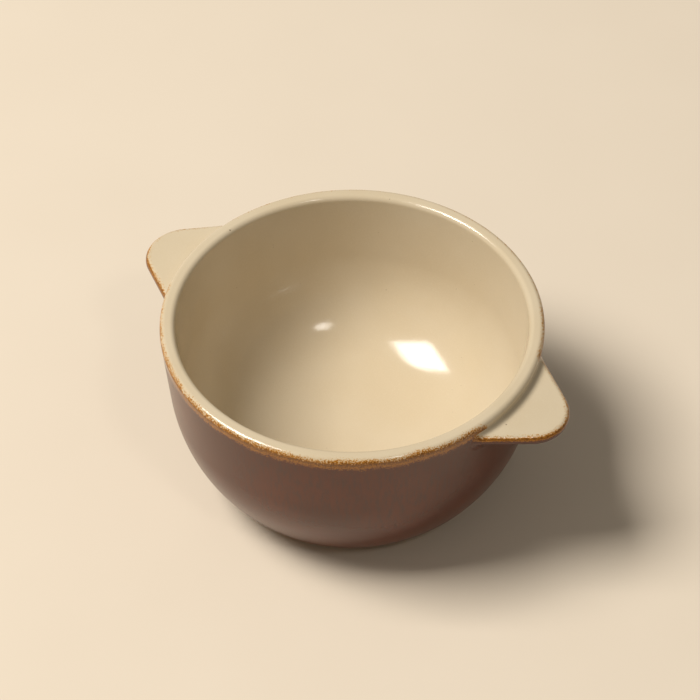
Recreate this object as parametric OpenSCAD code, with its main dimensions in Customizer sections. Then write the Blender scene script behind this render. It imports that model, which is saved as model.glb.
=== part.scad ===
/* [Bowl] */
// Outside diameter at the lip
rim_d = 132; // [110:1:160]
// Height from the table to the crest of the lip
bowl_h = 68; // [58:1:80]
// Inward lean of the upper wall, in degrees
wall_taper = 5; // [2:0.5:7]
// Height of the straight upper wall, below which the outside is a ball
straight_h = 26; // [16:1:30]
// Thickness of the floor in the middle
floor_t = 7; // [5:0.5:10]
// Radius of the shallow dish in the floor inside
floor_dish_r = 120; // [90:5:200]
// Radius of the inside corner between floor and wall
corner_r = 34; // [26:1:38]

/* [Lip] */
// Radius of the outer edge of the lip
lip_outer_r = 2; // [1.5:0.25:2.5]
// Radius of the softer inner edge of the lip
lip_inner_r = 3.5; // [3:0.25:4.5]

/* [Foot] */
// Width of the ring that the bowl stands on
foot_ring_w = 8; // [5:0.5:12]
// Depth of the turned recess inside the ring
foot_recess_h = 2.5; // [1:0.25:4]
// Bevel along the outer edge of the ring
foot_bevel = 0.8; // [0.4:0.1:1.2]
// Height of the bare clay band above the table
bare_band_h = 3; // [2:0.25:6]

/* [Lugs] */
// How far each lug stands out past the lip
lug_reach = 18; // [15:0.5:24]
// Radius of the rounded tip, seen from above
lug_tip_r = 14; // [10:0.5:15]
// Width of the lug where its sides meet the wall
lug_root_w = 46; // [40:1:52]
// Thickness of the lug, with fully rounded edges
lug_t = 4; // [3.2:0.2:6]
// How far the top of the lug lies below the crest at the lip
lug_top_drop = 4.4; // [4:0.2:9]
// Downward droop of the lug, in degrees
lug_droop = 4; // [0:0.5:8]

/* [Joint] */
// Thickness of the slip between the lug and the wall
slip_t = 0.8; // [0.4:0.1:1.2]
// Radius of the slip smoothed into the corner above the lug
slip_top_r = 2.2; // [1.4:0.1:2.6]
// Radius of the slip smoothed into the corner below the lug
slip_under_r = 3.2; // [2:0.2:4]

/* [Glaze] */
// Thickness of the fired glaze
glaze_t = 0.4; // [0.2:0.05:0.5]

/* [Hidden] */
$fn = 96;
// Faces round the edge of a lug
edge_fn = 24;
// Steps along an arc of the inside
arc_steps = 24;

// Overrun that carries cuts clear of the faces they pass through
over = bowl_h;
// Slip meets the faces at a small angle, with its centre this share of its radius away
slip_centre_share = 0.92;

clay_colour = [0.60, 0.42, 0.30];
slip_colour = [0.52, 0.35, 0.25];
cream_colour = [0.80, 0.73, 0.60];
brown_colour = [0.33, 0.17, 0.10];

// Lip: both edges turn about points at the same radius, below the crest
rim_r = rim_d / 2;
crest_r = rim_r - lip_outer_r;
lip_outer_z = bowl_h - lip_outer_r;
lip_inner_z = bowl_h - lip_inner_r;

// Outside: a leaning wall that runs down into a ball centred on the axis
wall_top = [crest_r + lip_outer_r * cos(wall_taper), lip_outer_z - lip_outer_r * sin(wall_taper)];
function wall_r(z) = wall_top.x - (wall_top.y - z) * tan(wall_taper);
ball_top_z = lip_outer_z - straight_h;
ball_centre_z = ball_top_z + wall_r(ball_top_z) * tan(wall_taper);
ball_r = wall_r(ball_top_z) / cos(wall_taper);

// Foot: the clay ball cut off at the table
foot_r = sqrt(pow(ball_r - glaze_t, 2) - pow(ball_centre_z, 2));

// Inside: a leaning wall, a corner and a dished floor, each tangent to the next
inside_top = [crest_r - lip_inner_r * cos(wall_taper), lip_inner_z + lip_inner_r * sin(wall_taper)];
dish_z = floor_t + floor_dish_r;
corner_line_r = inside_top.x - inside_top.y * tan(wall_taper) - corner_r / cos(wall_taper);
corner_a = 1 + pow(tan(wall_taper), 2);
corner_b = corner_line_r * tan(wall_taper) - dish_z;
corner_c = pow(corner_line_r, 2) + pow(dish_z, 2) - pow(floor_dish_r - corner_r, 2);
corner_z = (-corner_b - sqrt(pow(corner_b, 2) - corner_a * corner_c)) / corner_a;
corner_centre = [corner_line_r + corner_z * tan(wall_taper), corner_z];
corner_floor_angle = atan2(corner_z - dish_z, corner_centre.x);

// Lug: straight sides tangent to the round tip, in a plan with x outward from the axis
lug_half_t = lug_t / 2;
lug_top_z = bowl_h - lug_top_drop;
tip_x = rim_r + lug_reach - lug_tip_r;
root = [sqrt(pow(rim_r, 2) - pow(lug_root_w / 2, 2)), lug_root_w / 2];
root_to_tip = norm([tip_x, 0] - root);
side_lean = atan2(root.y, tip_x - root.x) - asin(lug_tip_r / root_to_tip);
side_normal = [sin(side_lean), cos(side_lean)];
side_along = [-cos(side_lean), sin(side_lean)];
// Middle of the round edge where it runs on into the wall, a lug thickness past the root
buried_root = root - lug_half_t * side_normal + lug_t * side_along;
slip_half_span = asin((lug_root_w / 2 - lug_half_t - slip_top_r) / rim_r);

function polar(centre, r, angle) = centre + r * [cos(angle), sin(angle)];

// Flat part of a disc between two angles less than half a turn apart
module sector(centre, r, from, to) {
    intersection() {
        translate(centre) circle(r);
        polygon([
            centre,
            polar(centre, 2 * r, from),
            polar(centre, 2 * r, (from + to) / 2),
            polar(centre, 2 * r, to)
        ]);
    }
}

// Half section of the bowl filled solid, its outside lying skin deep in the glaze
module filled_section(skin) {
    ball_edge = polar([0, ball_centre_z], ball_r - skin, -wall_taper);
    lip_edge = polar([crest_r, lip_outer_z], lip_outer_r - skin, -wall_taper);
    intersection() {
        translate([0, ball_centre_z]) circle(ball_r - skin);
        square([rim_r, ball_edge.y]);
    }
    polygon([
        [0, ball_edge.y],
        ball_edge,
        lip_edge,
        [crest_r, lip_outer_z],
        [crest_r, bowl_h - skin],
        [0, bowl_h - skin]
    ]);
    sector([crest_r, lip_outer_z], lip_outer_r - skin, -wall_taper, 90);
}

// Points of an arc from one angle to another
function arc(centre, r, from, to) =
    [for (step = [0 : arc_steps]) polar(centre, r, from + (to - from) * step / arc_steps)];

// Half section of the hollow, its faces lying skin deep in the glaze
module hollow_section(skin) {
    polygon([
        [0, bowl_h + over],
        each arc([0, dish_z], floor_dish_r + skin, -90, corner_floor_angle),
        each arc(corner_centre, corner_r + skin, corner_floor_angle, -wall_taper),
        each arc([crest_r, lip_inner_z], lip_inner_r - skin, 180 - wall_taper, 90),
        [crest_r, bowl_h + over]
    ]);
}

// Recess under the bowl and the bevel round the foot ring
module foot_cut_section() {
    recess_r = foot_r - foot_ring_w;
    polygon([
        [0, -over],
        [recess_r, -over],
        [recess_r, 0],
        [recess_r - foot_recess_h, foot_recess_h],
        [0, foot_recess_h]
    ]);
    polygon([[foot_r - foot_bevel, 0], [foot_r + foot_bevel, 2 * foot_bevel], [foot_r + foot_bevel, 0]]);
}

module core(skin) {
    rotate_extrude() filled_section(skin);
}

// Places what is drawn flat round the axis at the height and droop of a lug
module at_lug() {
    translate([rim_r, 0, lug_top_z])
        rotate([0, lug_droop, 0])
            translate([-rim_r, 0, -lug_half_t])
                children();
}

// Whole lug with its round edge, running on into the wall
module tab() {
    at_lug()
        hull() {
            translate([tip_x, 0, 0])
                rotate_extrude()
                    translate([lug_tip_r - lug_half_t, 0]) circle(lug_half_t, $fn = edge_fn);
            for (side = [-1, 1])
                translate([buried_root.x, side * buried_root.y, 0]) sphere(lug_half_t, $fn = edge_fn);
        }
}

// Corner of slip between the wall and one face of the lug, up is 1 above it and -1 below
module slip_corner(r, face_z, up) {
    reach = slip_centre_share * r;
    centre_z = face_z + up * reach;
    centre = [wall_r(centre_z) + reach, centre_z];
    rotate([0, 0, -slip_half_span])
        rotate_extrude(angle = 2 * slip_half_span)
            difference() {
                polygon([
                    [crest_r - reach, face_z - up * lug_half_t],
                    [centre.x, face_z - up * lug_half_t],
                    centre,
                    [crest_r - reach, centre.y]
                ]);
                translate(centre) circle(r);
            }
}

module slip_corners() {
    slip_corner(slip_top_r, lug_top_z, 1);
    slip_corner(slip_under_r, lug_top_z - lug_t, -1);
}

// Lug with its root cut to the wall, less the slip
module lug() {
    difference() {
        tab();
        core(glaze_t - slip_t);
    }
}

// Slip between lug and wall, smoothed into the corners above and below
module lug_slip() {
    difference() {
        union() {
            slip_corners();
            intersection() {
                tab();
                core(glaze_t - slip_t);
            }
        }
        core(glaze_t);
        lug();
    }
}

module both_lugs() {
    children();
    rotate([0, 0, 180]) children();
}

// Half section of the glaze on the outside wall, from the bare band up to the lip
module wall_glaze_section() {
    intersection() {
        difference() {
            filled_section(0);
            filled_section(glaze_t);
        }
        translate([0, bare_band_h]) square([rim_d, lip_outer_z - bare_band_h]);
    }
}

// Half section of the glaze inside, carried over the crest to the outer edge of the lip
module inside_glaze_section() {
    difference() {
        hollow_section(glaze_t);
        hollow_section(0);
    }
    difference() {
        sector([crest_r, lip_outer_z], lip_outer_r, 0, 90);
        translate([crest_r, lip_outer_z]) circle(lip_outer_r - glaze_t);
    }
}

module bowl_body() {
    color(clay_colour)
        rotate_extrude()
            difference() {
                filled_section(glaze_t);
                hollow_section(glaze_t);
                foot_cut_section();
            }
}

module left_lug() {
    color(clay_colour) rotate([0, 0, 180]) lug();
}

module right_lug() {
    color(clay_colour) lug();
}

module left_lug_slip() {
    color(slip_colour) rotate([0, 0, 180]) lug_slip();
}

module right_lug_slip() {
    color(slip_colour) lug_slip();
}

module cream_glaze() {
    color(cream_colour) rotate_extrude() inside_glaze_section();
}

module brown_glaze() {
    color(brown_colour)
        difference() {
            rotate_extrude() wall_glaze_section();
            both_lugs() {
                tab();
                slip_corners();
            }
        }
}

bowl_body();
left_lug();
right_lug();
left_lug_slip();
right_lug_slip();
cream_glaze();
brown_glaze();
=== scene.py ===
import math

import bpy
import numpy as np
from mathutils import Matrix, Vector


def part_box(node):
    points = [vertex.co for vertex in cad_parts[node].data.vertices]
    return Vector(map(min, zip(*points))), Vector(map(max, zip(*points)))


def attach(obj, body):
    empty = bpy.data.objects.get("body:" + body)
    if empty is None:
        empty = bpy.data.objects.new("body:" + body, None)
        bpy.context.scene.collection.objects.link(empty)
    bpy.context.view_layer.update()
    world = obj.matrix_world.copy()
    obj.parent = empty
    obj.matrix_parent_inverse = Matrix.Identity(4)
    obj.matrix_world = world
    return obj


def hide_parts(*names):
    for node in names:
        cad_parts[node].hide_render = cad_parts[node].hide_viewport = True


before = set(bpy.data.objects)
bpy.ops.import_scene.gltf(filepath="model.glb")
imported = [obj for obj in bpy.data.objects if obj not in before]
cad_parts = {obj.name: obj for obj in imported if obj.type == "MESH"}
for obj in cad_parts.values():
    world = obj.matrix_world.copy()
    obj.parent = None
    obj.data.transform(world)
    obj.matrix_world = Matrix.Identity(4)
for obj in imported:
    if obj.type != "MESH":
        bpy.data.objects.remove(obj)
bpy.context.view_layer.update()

MM = 0.001

# Sizes of the bowl, read from the frame where it gives them
cream_low, cream_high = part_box("cream_glaze")
brown_low, brown_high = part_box("brown_glaze")
lug_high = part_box("right_lug")[1]
RIM_R = brown_high.y
CREST_Z = cream_high.z
FLOOR_Z = cream_low.z
BARE_Z = brown_low.z
LUG_TIP_X = lug_high.x

GLAZE_T = 0.4 * MM
TAPER = math.radians(5)
STRAIGHT_H = 26 * MM
DISH_R = 120 * MM
CORNER_R = 34 * MM
LIP_OUTER_R = 2 * MM
LIP_INNER_R = 3.5 * MM
LIP_EDGE_R = 2.0 * MM
FOOT_RING_W = 8 * MM
FOOT_RECESS_H = 2.5 * MM
FOOT_BEVEL = 0.8 * MM

LUG_TIP_R = 14 * MM
LUG_ROOT_W = 46 * MM
LUG_T = 4 * MM
LUG_DROP = 4.4 * MM
LUG_DROOP = math.radians(4)
LUG_SWEEP_R = 4 * MM
LUG_BURIED = 1.5 * MM
SLIP_TOP_R = 2.2 * MM
SLIP_UNDER_R = 3.2 * MM

# Places that follow from those sizes
CREST_R = RIM_R - LIP_OUTER_R
LIP_OUTER_Z = CREST_Z - LIP_OUTER_R
LIP_INNER_Z = CREST_Z - LIP_INNER_R
WALL_TOP_R = CREST_R + LIP_OUTER_R * math.cos(TAPER)
WALL_TOP_Z = LIP_OUTER_Z - LIP_OUTER_R * math.sin(TAPER)


def wall_radius(z):
    """Radius of the leaning outside wall at a height."""
    return WALL_TOP_R - (WALL_TOP_Z - z) * math.tan(TAPER)


BALL_TOP_Z = LIP_OUTER_Z - STRAIGHT_H
BALL_Z = BALL_TOP_Z + wall_radius(BALL_TOP_Z) * math.tan(TAPER)
BALL_R = wall_radius(BALL_TOP_Z) / math.cos(TAPER)
FOOT_R = math.sqrt((BALL_R - GLAZE_T) ** 2 - BALL_Z**2)

INSIDE_TOP_R = CREST_R - LIP_INNER_R * math.cos(TAPER)
INSIDE_TOP_Z = LIP_INNER_Z + LIP_INNER_R * math.sin(TAPER)
LIP_FLAT = (LIP_INNER_R - LIP_EDGE_R) * (1 - math.sin(TAPER)) / math.cos(TAPER)
LIP_EDGE_CENTRE = CREST_R - LIP_FLAT
INSIDE_FLOOR_Z = FLOOR_Z + GLAZE_T
DISH_Z = INSIDE_FLOOR_Z + DISH_R


def corner_place():
    """Centre of the inside corner, tangent to the leaning wall and to the dished floor."""
    lean = math.tan(TAPER)
    line = INSIDE_TOP_R - INSIDE_TOP_Z * lean - CORNER_R / math.cos(TAPER)
    a = 1 + lean**2
    b = line * lean - DISH_Z
    c = line**2 + DISH_Z**2 - (DISH_R - CORNER_R) ** 2
    z = (-b - math.sqrt(b * b - a * c)) / a
    return line + z * lean, z


CORNER_CENTRE = corner_place()
CORNER_FLOOR = math.atan2(CORNER_CENTRE[1] - DISH_Z, CORNER_CENTRE[0])


# Profiles: rows of radius and height

def eased(start, end, count):
    """Numbers from start to end that crowd together at both ends."""
    share = (1 - np.cos(np.linspace(0, math.pi, count))) / 2
    return start + (end - start) * share


def arc(centre, radius, angles):
    """Points of a circle at the angles given."""
    return np.array(centre) + radius * np.stack([np.cos(angles), np.sin(angles)], axis=1)


def joined(*stretches):
    """One profile out of several, without the doubled points where they meet."""
    points = np.concatenate(stretches)
    steps = np.linalg.norm(np.diff(points, axis=0), axis=1)
    return points[np.concatenate([[True], steps > 1e-7])]


def outside_profile(skin, low_z, lip_end, rows):
    """Outside of the bowl from a low height up to an angle on the lip, skin deep in the glaze."""
    ball_r = BALL_R - skin
    low = math.asin((low_z - BALL_Z) / ball_r)
    ball = arc((0, BALL_Z), ball_r, np.linspace(low, -TAPER, rows))
    lip = arc((CREST_R, LIP_OUTER_Z), LIP_OUTER_R - skin, eased(-TAPER, lip_end, rows))
    wall = np.linspace(ball[-1], lip[0], rows)
    return joined(ball, wall, lip)


def inside_profile(skin, rows):
    """Inside of the bowl from the middle of the floor up to the crest, skin deep in the glaze."""
    floor = arc((0, DISH_Z), DISH_R + skin, np.linspace(-math.pi / 2, CORNER_FLOOR, rows))
    corner = arc(CORNER_CENTRE, CORNER_R + skin, np.linspace(CORNER_FLOOR, -TAPER, rows))
    lip_angles = np.linspace(math.pi - TAPER, math.pi / 2, rows)
    lip = arc((LIP_EDGE_CENTRE, CREST_Z - LIP_EDGE_R), LIP_EDGE_R - skin, lip_angles)
    wall = np.linspace(corner[-1], lip[0], rows)
    return joined(floor, corner, wall, lip)


def foot_profile():
    """Bare foot from the band under the glaze round the ring and into the recess, to the axis."""
    ring_r = FOOT_R - FOOT_RING_W
    return np.array([
        (FOOT_R + FOOT_BEVEL * math.tan(TAPER), FOOT_BEVEL),
        (FOOT_R - FOOT_BEVEL, 0),
        (ring_r, 0),
        (ring_r - FOOT_RECESS_H, FOOT_RECESS_H),
        (0, FOOT_RECESS_H),
    ])


# Meshes

SHARP_ANGLE = math.radians(40)


def mesh_piece(name, points, quads):
    """Mesh of the points and quads, turned so that its faces point outwards, smooth but for sharp edges.

    A quad whose first two or last two corners are the same pole becomes a triangle.
    """
    corners = points[quads]
    volume = np.einsum("ij,ij->", corners[:, 0], np.cross(corners[:, 1], corners[:, 2]))
    volume += np.einsum("ij,ij->", corners[:, 0], np.cross(corners[:, 2], corners[:, 3]))
    if volume < 0:
        quads = quads[:, ::-1]
    from_pole = quads[:, 0] == quads[:, 1]
    to_pole = quads[:, 2] == quads[:, 3]
    triangles = np.concatenate([quads[from_pole, 1:], quads[to_pole, :3]])
    quads = quads[~(from_pole | to_pole)]
    mesh = bpy.data.meshes.new(name)
    mesh.from_pydata(points.tolist(), [], quads.tolist() + triangles.tolist())
    mesh.polygons.foreach_set("use_smooth", np.ones(len(mesh.polygons), bool))
    mesh.set_sharp_from_angle(angle=SHARP_ANGLE)
    mesh.update()
    piece = bpy.data.objects.new(name, mesh)
    bpy.context.scene.collection.objects.link(piece)
    return piece


def write_attribute(piece, name, values):
    """One number for each vertex, for the piece's material to read."""
    attribute = piece.data.attributes.new(name, "FLOAT", "POINT")
    attribute.data.foreach_set("value", values.astype(np.float32))


def lathe(name, profile, columns, closed):
    """Profile turned about the axis: x = r cos a, y = r sin a, and z as in the profile.

    A closed profile is joined from its last row back to its first, and an open one ends in two poles.
    """
    angles = np.arange(columns) * (2 * math.pi / columns)
    rows = len(profile)
    ring = np.arange(rows * columns).reshape(rows, columns)
    radius = np.repeat(profile[:, 0], columns)
    points = np.stack([
        radius * np.tile(np.cos(angles), rows),
        radius * np.tile(np.sin(angles), rows),
        np.repeat(profile[:, 1], columns),
    ], axis=1)
    if not closed:
        ring[0] = 0
        ring[-1] = ring[-1, 0]
    used, numbers = np.unique(ring, return_inverse=True)
    ring = numbers.reshape(rows, columns)
    if closed:
        ring = np.concatenate([ring, ring[:1]])
    turned = np.roll(ring, -1, axis=1)
    faces = np.stack([ring[:-1], turned[:-1], turned[1:], ring[1:]], axis=-1).reshape(-1, 4)
    return mesh_piece(name, points[used], faces)


# How far the glaze has thinned and broken from cream to brown: below 0 cream, over 1 brown

BREAK_START = 0.8 * MM
BREAK_LENGTH = 4.8 * MM
LUG_CREAM_SHIFT = 7 * MM
LUG_CREAM_HALF = math.radians(11.5)
LUG_CREAM_FADE = math.radians(5.5)


def lug_window(angles):
    """1 over the lugs, 0 away from them, with a short fade."""
    from_lug = np.abs((angles + math.pi / 2) % math.pi - math.pi / 2)
    share = np.clip((LUG_CREAM_HALF + LUG_CREAM_FADE - from_lug) / LUG_CREAM_FADE, 0, 1)
    return share * share * (3 - 2 * share)


def lip_break(points, inner):
    """Break by the length of the profile out from the crest of the lip, less than none on the inner side."""
    radius = np.hypot(points[:, 0], points[:, 1])
    angle = np.arctan2(points[:, 2] - LIP_OUTER_Z, radius - CREST_R)
    on_lip = LIP_OUTER_R * np.clip(math.pi / 2 - angle, 0, math.pi / 2)
    below = np.clip(LIP_OUTER_Z - points[:, 2], 0, None)
    length = np.where(angle > 0, on_lip, LIP_OUTER_R * math.pi / 2 + below)
    inside = radius < CREST_R
    length = np.where(inside & inner, -np.hypot(radius - CREST_R, points[:, 2] - CREST_Z), length)
    shift = LUG_CREAM_SHIFT * lug_window(np.arctan2(points[:, 1], points[:, 0]))
    return (length - shift - BREAK_START) / BREAK_LENGTH


def vertex_places(piece):
    """Places of a piece's vertices as rows of x, y, z."""
    flat = np.empty(len(piece.data.vertices) * 3, np.float32)
    piece.data.vertices.foreach_get("co", flat)
    return flat.reshape(-1, 3).astype(float)


COAT_COLUMNS = 384
CLAY_COLUMNS = 192
INSIDE_ROWS = 36
OUTSIDE_ROWS = 40
CLAY_ROWS = 24
SKIN_ROWS = 12


def cream_coat():
    """Glaze inside: up the inside and over the lip to its outermost edge, and back skin deep."""
    lip_centre = (CREST_R, LIP_OUTER_Z)
    face = inside_profile(0, INSIDE_ROWS)
    lip = arc(lip_centre, LIP_OUTER_R, eased(math.pi / 2, 0, INSIDE_ROWS))
    under_lip = arc(lip_centre, LIP_OUTER_R - GLAZE_T, np.linspace(0, math.pi / 2, SKIN_ROWS))
    under = inside_profile(GLAZE_T, SKIN_ROWS)[::-1]
    profile = joined(face, lip, under_lip, under)
    piece = lathe("cream_glaze_coat", profile, COAT_COLUMNS, closed=False)
    write_attribute(piece, "glaze_break", lip_break(vertex_places(piece), inner=True))
    return piece


def brown_coat():
    """Glaze outside: from the bare band up to the outermost edge of the lip, and back skin deep."""
    face = outside_profile(0, BARE_Z, 0, OUTSIDE_ROWS)
    under = outside_profile(GLAZE_T, BARE_Z, 0, SKIN_ROWS)[::-1]
    piece = lathe("brown_glaze_coat", joined(face, under), COAT_COLUMNS, closed=True)
    write_attribute(piece, "glaze_break", lip_break(vertex_places(piece), inner=False))
    return piece


def clay_bowl():
    """Clay under the glazes: inside, lip and outside skin deep, then the bare foot, to the axis."""
    inside = inside_profile(GLAZE_T, SKIN_ROWS)
    outside = outside_profile(GLAZE_T, FOOT_BEVEL, math.pi / 2, CLAY_ROWS)[::-1]
    profile = joined(inside, outside, foot_profile())
    return lathe("clay_bowl", profile, CLAY_COLUMNS, closed=False)


# Lugs

TIP_X = LUG_TIP_X - LUG_TIP_R
LUG_HALF_T = LUG_T / 2
LUG_TOP_Z = CREST_Z - LUG_DROP
LUG_WALL_R = wall_radius(LUG_TOP_Z - LUG_HALF_T)


def lug_outline(step):
    """Plan of a lug: sweep out of the wall, straight side, round tip, and the same back.

    Returns the points and the directions that point into the lug, from one root to the other.
    """
    root = np.array([math.sqrt(RIM_R**2 - (LUG_ROOT_W / 2) ** 2), LUG_ROOT_W / 2])
    to_tip = np.array([TIP_X, 0]) - root
    lean = math.atan2(-to_tip[1], to_tip[0]) - math.asin(LUG_TIP_R / np.linalg.norm(to_tip))
    side = math.pi / 2 - lean
    normal = np.array([math.cos(side), math.sin(side)])
    along = np.array([-math.sin(side), math.cos(side)])
    offset = TIP_X * normal[0] + LUG_TIP_R
    start = TIP_X * along[0]
    end = -math.sqrt((LUG_WALL_R + LUG_SWEEP_R) ** 2 - (offset + LUG_SWEEP_R) ** 2)
    centre = (offset + LUG_SWEEP_R) * normal + end * along
    to_axis = math.pi + math.atan2(centre[1], centre[0])

    tip_angles = np.linspace(0, side, max(2, round(LUG_TIP_R * side / step)))
    tip = arc((TIP_X, 0), LUG_TIP_R, tip_angles)
    tip_in = -np.stack([np.cos(tip_angles), np.sin(tip_angles)], axis=1)
    run = np.linspace(start, end, max(2, round((end - start) / step)))[1:]
    straight = offset * normal + run[:, None] * along
    straight_in = np.tile(-normal, (len(run), 1))
    turn = side + math.pi - to_axis
    sweep_angles = np.linspace(side + math.pi, to_axis, max(3, round(LUG_SWEEP_R * turn / step * 2)))[1:]
    sweep = arc(centre, LUG_SWEEP_R, sweep_angles)
    sweep_in = np.stack([np.cos(sweep_angles), np.sin(sweep_angles)], axis=1)
    half = np.concatenate([tip, straight, sweep])
    half_in = np.concatenate([tip_in, straight_in, sweep_in])
    flip = np.array([1, -1])
    points = np.concatenate([(half * flip)[::-1][:-1], half])
    return points, np.concatenate([(half_in * flip)[::-1][:-1], half_in])


def hollow_curve(gap, radius):
    """Rise of a hollow corner of that radius, by the gap to the wall."""
    inside = np.clip(radius - gap, 0, radius)
    return radius - np.sqrt(radius**2 - inside**2)


def cap_faces(loop):
    """Closes a buried end loop with a strip of faces from one side of the loop to the other."""
    half = len(loop) // 2
    one = loop[:half]
    other = loop[::-1][:half]
    return np.stack([one[:-1], one[1:], other[1:], other[:-1]], axis=-1)


LUG_STEP = 0.45 * MM
LUG_EDGE_ROWS = 20
LUG_FACE_ROWS = 44
FACE_CROWDING = 1.7
# Break along the round edge: cream above the first sine of its angle, brown below the second
EDGE_CREAM = 0.95
EDGE_BROWN = 0.20
FACE_FALL = 6


def lug_piece(name, turned):
    """Lug: a profile of underside, round edge and top carried along the outline of the lug.

    The round edge is a half circle, and the faces run from it to a line buried in the wall. Close to
    the wall both faces curve away from the middle in hollow corners. The whole droops about the lip.
    """
    outline, inward = lug_outline(LUG_STEP)
    columns = len(outline)
    root_r = LUG_WALL_R - LUG_BURIED
    last = math.atan2(outline[-1, 1], outline[-1, 0])
    root_angles = np.linspace(-last, last, columns) * (1 - LUG_BURIED / (root_r * last))
    root = root_r * np.stack([np.cos(root_angles), np.sin(root_angles)], axis=1)

    turn = np.linspace(-math.pi / 2, math.pi / 2, LUG_EDGE_ROWS)
    edge = outline[None] + inward[None] * (LUG_HALF_T * (1 - np.cos(turn)))[:, None, None]
    edge_z = np.repeat(LUG_HALF_T * np.sin(turn)[:, None], columns, axis=1)
    share = 1 - (1 - np.linspace(0, 1, LUG_FACE_ROWS)) ** FACE_CROWDING
    face = edge[-1][None] + (root - edge[-1])[None] * share[1:, None, None]
    face_z = np.full(face.shape[:2], LUG_HALF_T)
    plan = np.concatenate([face[::-1], edge, face])
    height = np.concatenate([-face_z, edge_z, face_z])

    out = plan[..., 0] - RIM_R
    down = height - LUG_HALF_T
    x = RIM_R + out * math.cos(LUG_DROOP) + down * math.sin(LUG_DROOP)
    z = LUG_TOP_Z - out * math.sin(LUG_DROOP) + down * math.cos(LUG_DROOP)
    y = plan[..., 1]
    gap = np.hypot(x, y) - LUG_WALL_R
    upper = np.clip(height / LUG_HALF_T, 0, 1)
    lower = np.clip(-height / LUG_HALF_T, 0, 1)
    z = z + upper * hollow_curve(gap, SLIP_TOP_R) - lower * hollow_curve(gap, SLIP_UNDER_R)

    points = np.stack([x * turned, y * turned, z], axis=-1).reshape(-1, 3)
    rows = len(plan)
    grid = np.arange(rows * columns).reshape(rows, columns)
    loop = np.concatenate([grid, grid[:1]])
    faces = np.stack([loop[:-1, :-1], loop[:-1, 1:], loop[1:, 1:], loop[1:, :-1]], axis=-1).reshape(-1, 4)
    caps = [cap_faces(grid[:, 0]), cap_faces(grid[::-1, -1])]
    piece = mesh_piece(name, points, np.concatenate([faces, *caps]))
    edge_break = (EDGE_CREAM - np.sin(turn)) / (EDGE_CREAM - EDGE_BROWN)
    top_break = edge_break[-1] - FACE_FALL * share[1:]
    under_break = np.full(len(face), edge_break[0])
    row_break = np.concatenate([under_break, edge_break, top_break])
    write_attribute(piece, "glaze_break", np.repeat(row_break, columns))
    return piece


# Shader maths

class Value:
    """A socket that takes part in Python sums; each sum adds a Math node."""

    def __init__(self, finish, socket):
        self.finish = finish
        self.socket = socket

    def math(self, operation, first, second):
        return self.finish.node("ShaderNodeMath", {"operation": operation}, {0: first, 1: second})

    def __add__(self, other):
        return self.math("ADD", self, other)

    def __radd__(self, other):
        return self.math("ADD", other, self)

    def __sub__(self, other):
        return self.math("SUBTRACT", self, other)

    def __rsub__(self, other):
        return self.math("SUBTRACT", other, self)

    def __mul__(self, other):
        return self.math("MULTIPLY", self, other)

    def __rmul__(self, other):
        return self.math("MULTIPLY", other, self)


class Finish:
    """A material and the nodes that make it."""

    def __init__(self, name):
        self.material = bpy.data.materials.new(name)
        self.material.use_nodes = True
        self.tree = self.material.node_tree
        self.tree.nodes.clear()
        self.place = self.node("ShaderNodeTexCoord", output="Object")

    def node(self, kind, settings=None, inputs=None, output=0):
        """Adds a node, sets its settings, then its sockets, and returns one of its outputs."""
        made = self.tree.nodes.new(kind)
        for key, setting in (settings or {}).items():
            if key == "stops":
                self.set_stops(made.color_ramp, setting)
            else:
                setattr(made, key, setting)
        for key, value in (inputs or {}).items():
            if isinstance(value, Value):
                self.tree.links.new(value.socket, made.inputs[key])
            else:
                made.inputs[key].default_value = value
        return Value(self, made.outputs[output]) if len(made.outputs) else None

    @staticmethod
    def set_stops(ramp, stops):
        """Gives a ramp its stops, rows of place and colour."""
        while len(ramp.elements) < len(stops):
            ramp.elements.new(1)
        for element, (place, colour) in zip(ramp.elements, stops):
            element.position = place
            element.color = colour

    def noise(self, size, detail=2, roughness=0.5, place=None):
        """Cloudy noise about 0.5, with blobs of that size."""
        return self.node("ShaderNodeTexNoise", None, {
            "Vector": place or self.place, "Scale": 1 / size, "Detail": detail, "Roughness": roughness,
        })

    def ramp(self, factor, stops):
        """Colour along a ramp."""
        return self.node("ShaderNodeValToRGB", {"stops": stops}, {0: factor})

    def smooth(self, value, low, high):
        """0 below low, 1 above high, smooth between."""
        return self.node("ShaderNodeMapRange", {"interpolation_type": "SMOOTHSTEP"}, {
            "Value": value, "From Min": low, "From Max": high,
        })

    def mix(self, factor, first, second):
        """Colour between two colours."""
        return self.node("ShaderNodeMix", {"data_type": "RGBA"}, {0: factor, 6: first, 7: second}, output=2)

    def attribute(self, name):
        """A number that the piece's vertices carry."""
        return self.node("ShaderNodeAttribute", {"attribute_name": name}, output="Fac")

    def specks(self, spacing, largest, share):
        """1 in round specks of mixed size, in a share of the cells of a spacing, and 0 elsewhere."""
        settings = {"voronoi_dimensions": "3D", "feature": "F1"}
        inputs = {"Vector": self.place, "Scale": 1 / spacing}
        cells = self.node("ShaderNodeTexVoronoi", settings, inputs, output="Color")
        distance = self.node("ShaderNodeTexVoronoi", settings, inputs, output="Distance")
        chance = self.node("ShaderNodeSeparateColor", None, {0: cells}, output=0)
        size = (share - chance) * (largest / spacing / share)
        return self.smooth(size - distance, 0.0, 0.25 * largest / spacing)

    def bump(self, height, distance):
        """Normal of a surface raised by a height times the distance."""
        inputs = {"Strength": 1, "Distance": distance, "Height": height}
        return self.node("ShaderNodeBump", None, inputs)

    def surface(self, **sockets):
        """Ends the material in one Principled shader with those sockets."""
        inputs = {}
        for key, value in sockets.items():
            inputs[key.replace("_", " ").title().replace("Ior", "IOR")] = value
        shader = self.node("ShaderNodeBsdfPrincipled", None, inputs)
        self.node("ShaderNodeOutputMaterial", None, {"Surface": shader})
        return self.material


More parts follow.
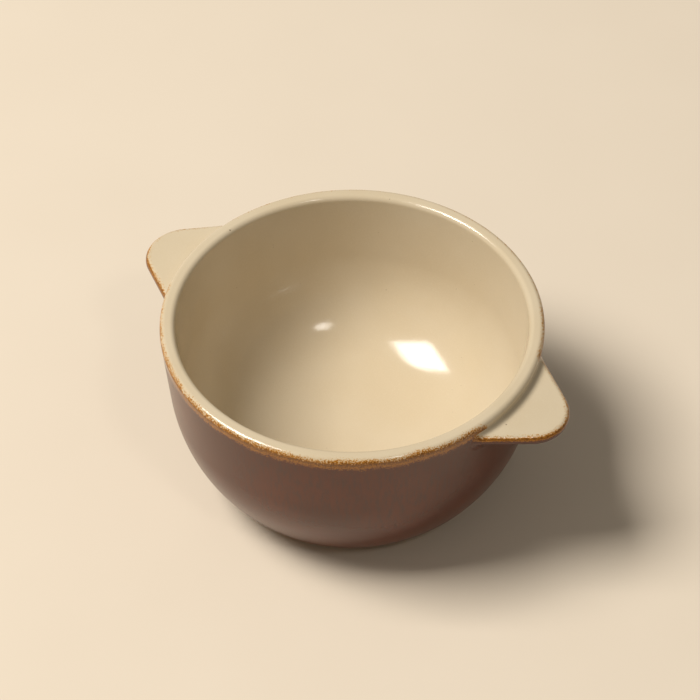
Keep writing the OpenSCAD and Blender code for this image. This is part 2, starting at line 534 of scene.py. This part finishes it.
CREAM = (0.64, 0.54, 0.385, 1)
CREAM_WARM = (0.62, 0.515, 0.355, 1)
CREAM_PALE = (0.68, 0.59, 0.44, 1)
IRON = (0.09, 0.055, 0.03, 1)
AMBER_PALE = (0.60, 0.38, 0.10, 1)
AMBER = (0.47, 0.185, 0.012, 1)
AMBER_DARK = (0.11, 0.036, 0.005, 1)
BROWN = (0.090, 0.022, 0.008, 1)
BROWN_RED = (0.120, 0.026, 0.008, 1)
BROWN_GREY = (0.080, 0.026, 0.015, 1)
CLAY = (0.42, 0.27, 0.16, 1)
CLAY_DARK = (0.30, 0.18, 0.10, 1)
TABLE = (0.74, 0.645, 0.52, 1)
TABLE_PALE = (0.77, 0.675, 0.55, 1)
BREAK_BAND = [
    (0.0, AMBER_PALE), (0.25, AMBER), (0.52, AMBER_DARK), (0.74, AMBER), (1.0, BROWN_RED),
]

# Sizes of the clouds in the finishes, then relief and roughness
GRAIN = 0.5 * MM
PATCH = 7 * MM
CLOUD = 26 * MM
STREAK = 1.1 * MM
STREAK_STRETCH = (1, 1, 0.16)
FLECK = 0.32 * MM
PEEL = 0.9 * MM
WAVE = 9 * MM
CLAY_GRIT = 0.5 * MM
CLAY_CLOUD = 9 * MM
TABLE_CLOUD = 60 * MM
GLAZE_RELIEF = 0.035 * MM
CLAY_RELIEF = 0.12 * MM
CREAM_ROUGHNESS = 0.13
BROWN_ADDS = 0.12
CLAY_ROUGHNESS = 0.85
TABLE_ROUGHNESS = 0.9
GLAZE_IOR = 1.52


def glaze_finish():
    """Cream glaze with iron specks that breaks through amber into brown where the glaze thins."""
    finish = Finish("broken_stoneware_glaze")
    grain = finish.noise(GRAIN, detail=3, roughness=0.6)
    patches = finish.noise(PATCH)
    clouds = finish.noise(CLOUD, detail=3)

    cream = finish.mix(finish.smooth(clouds, 0.3, 0.7), CREAM, CREAM_WARM)
    cream = finish.mix(finish.smooth(grain, 0.45, 0.75) * 0.35, cream, CREAM_PALE)
    cream = finish.mix(finish.specks(2.6 * MM, 0.22 * MM, 0.26) * 0.45, cream, IRON)
    cream = finish.mix(finish.specks(7.5 * MM, 0.40 * MM, 0.22) * 0.7, cream, IRON)

    stretch = {0: finish.place, 1: STREAK_STRETCH}
    down = finish.node("ShaderNodeVectorMath", {"operation": "MULTIPLY"}, stretch)
    streaks = finish.noise(STREAK, detail=4, roughness=0.7, place=down)
    brown = finish.mix(finish.smooth(clouds, 0.35, 0.68), BROWN, BROWN_RED)
    brown = finish.mix(finish.smooth(streaks, 0.40, 0.66) * 0.8, brown, BROWN_GREY)

    edge = finish.attribute("glaze_break") + (grain - 0.5) * 1.4 + (patches - 0.5) * 0.5
    band = finish.ramp(edge, BREAK_BAND)
    flecks = finish.noise(FLECK, detail=1)
    band = finish.mix(finish.smooth(flecks, 0.52, 0.68) * 0.55, band, AMBER_DARK)
    colour = finish.mix(finish.smooth(edge, 0.0, 0.28), cream, band)
    colour = finish.mix(finish.smooth(edge, 0.9, 1.15), colour, brown)

    peel = finish.noise(PEEL, roughness=0.55)
    waves = finish.noise(WAVE, detail=1)
    normal = finish.bump(peel * 0.6 + waves * 1.2 + grain * 0.25, GLAZE_RELIEF)
    rough = finish.smooth(edge, 0.8, 1.3) * BROWN_ADDS + CREAM_ROUGHNESS + (grain - 0.5) * 0.06
    return finish.surface(base_color=colour, roughness=rough, normal=normal, ior=GLAZE_IOR)


def clay_finish():
    """Bare fired stoneware: warm, matt and gritty."""
    finish = Finish("bare_clay")
    grit = finish.noise(CLAY_GRIT, detail=3, roughness=0.7)
    clouds = finish.noise(CLAY_CLOUD, detail=3)
    colour = finish.mix(finish.smooth(clouds, 0.35, 0.65), CLAY, CLAY_DARK)
    colour = finish.mix(finish.specks(2.2 * MM, 0.3 * MM, 0.25) * 0.7, colour, IRON)
    rough = CLAY_ROUGHNESS + (grit - 0.5) * 0.2
    return finish.surface(base_color=colour, roughness=rough, normal=finish.bump(grit, CLAY_RELIEF))


# The object

def dress(piece, material, slot, *nodes):
    """Gives a piece its finish and body, and hides the nodes that it stands for."""
    piece.data.materials.append(material)
    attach(piece, "root")
    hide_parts(*nodes)


glaze = glaze_finish()
dress(cream_coat(), glaze, "cream_glaze", "cream_glaze")
dress(brown_coat(), glaze, "brown_glaze", "brown_glaze")
dress(clay_bowl(), clay_finish(), "bare_clay", "bowl_body")
dress(lug_piece("right_lug_glazed", 1), glaze, "lug_glaze", "right_lug", "right_lug_slip")
dress(lug_piece("left_lug_glazed", -1), glaze, "lug_glaze", "left_lug", "left_lug_slip")


# Camera, fitted to the outline of the lip and lugs, and light

VIEW_AZIMUTH = math.radians(32.52)
VIEW_ELEVATION = math.radians(45.83)
VIEW_ROLL = math.radians(-0.28)
VIEW_DISTANCE = 1.0
VIEW_RIGHT = 0.75 * MM
VIEW_DOWN = -9.50 * MM
SENSOR_W = 36.0
IMAGE_W = 700
FOCAL_PIXELS = 2917.4

WARM_WHITE = (1.0, 0.96, 0.90)
WORLD_COLOUR = (1.0, 0.92, 0.80, 1)
WORLD_STRENGTH = 0.19


def in_view(right, away, up):
    """Direction given as right, away and up of the view, as a direction in the frame."""
    return Matrix.Rotation(VIEW_AZIMUTH, 3, "Z") @ Vector((right, away, up))


def add_camera():
    """Camera that looks at the middle of the lip from the azimuth, elevation, roll and distance."""
    level = in_view(1, 0, 0)
    forward = in_view(0, math.cos(VIEW_ELEVATION), -math.sin(VIEW_ELEVATION))
    upright = in_view(0, math.sin(VIEW_ELEVATION), math.cos(VIEW_ELEVATION))
    right = math.cos(VIEW_ROLL) * level + math.sin(VIEW_ROLL) * upright
    up = math.cos(VIEW_ROLL) * upright - math.sin(VIEW_ROLL) * level
    target = Vector((0, 0, LIP_OUTER_Z))
    data = bpy.data.cameras.new("camera")
    data.sensor_width = SENSOR_W
    data.lens = FOCAL_PIXELS * SENSOR_W / IMAGE_W
    camera = bpy.data.objects.new("camera", data)
    turn = Matrix((right, up, -forward)).transposed().to_4x4()
    place = target - VIEW_RIGHT * right + VIEW_DOWN * up - VIEW_DISTANCE * forward
    camera.matrix_world = Matrix.Translation(place) @ turn
    bpy.context.scene.collection.objects.link(camera)
    bpy.context.scene.camera = camera


def add_lamp(name, direction, distance, size, power, colour):
    """Soft square lamp in a direction of the view, turned to the bowl."""
    data = bpy.data.lights.new(name, "AREA")
    data.shape = "SQUARE"
    data.size = size
    data.energy = power
    data.color = colour
    lamp = bpy.data.objects.new(name, data)
    way = in_view(*direction).normalized()
    turn = (-way).to_track_quat("-Z", "Y").to_matrix().to_4x4()
    lamp.matrix_world = Matrix.Translation(Vector((0, 0, LIP_OUTER_Z / 2)) + way * distance) @ turn
    bpy.context.scene.collection.objects.link(lamp)


def add_floor():
    """Wide pale floor just under the foot."""
    half = 4.0
    low = -0.1 * MM
    corners = [(-half, -half, low), (half, -half, low), (half, half, low), (-half, half, low)]
    mesh = bpy.data.meshes.new("floor")
    mesh.from_pydata(corners, [], [(0, 1, 2, 3)])
    floor = bpy.data.objects.new("floor", mesh)
    bpy.context.scene.collection.objects.link(floor)
    finish = Finish("pale_floor")
    shade = finish.mix(finish.noise(TABLE_CLOUD), TABLE, TABLE_PALE)
    mesh.materials.append(finish.surface(base_color=shade, roughness=TABLE_ROUGHNESS))


def add_world():
    """Even pale light from all round."""
    world = bpy.data.worlds.new("studio")
    world.use_nodes = True
    background = world.node_tree.nodes["Background"]
    background.inputs["Color"].default_value = WORLD_COLOUR
    background.inputs["Strength"].default_value = WORLD_STRENGTH
    bpy.context.scene.world = world


add_camera()
add_floor()
add_world()
add_lamp("key_lamp", (-0.53, -0.02, 0.85), distance=2.5, size=1.05, power=70, colour=WARM_WHITE)
add_lamp("front_lamp", (0.28, -0.51, 0.81), distance=2.0, size=0.22, power=2.4, colour=WARM_WHITE)
bpy.context.scene.view_settings.view_transform = "Standard"
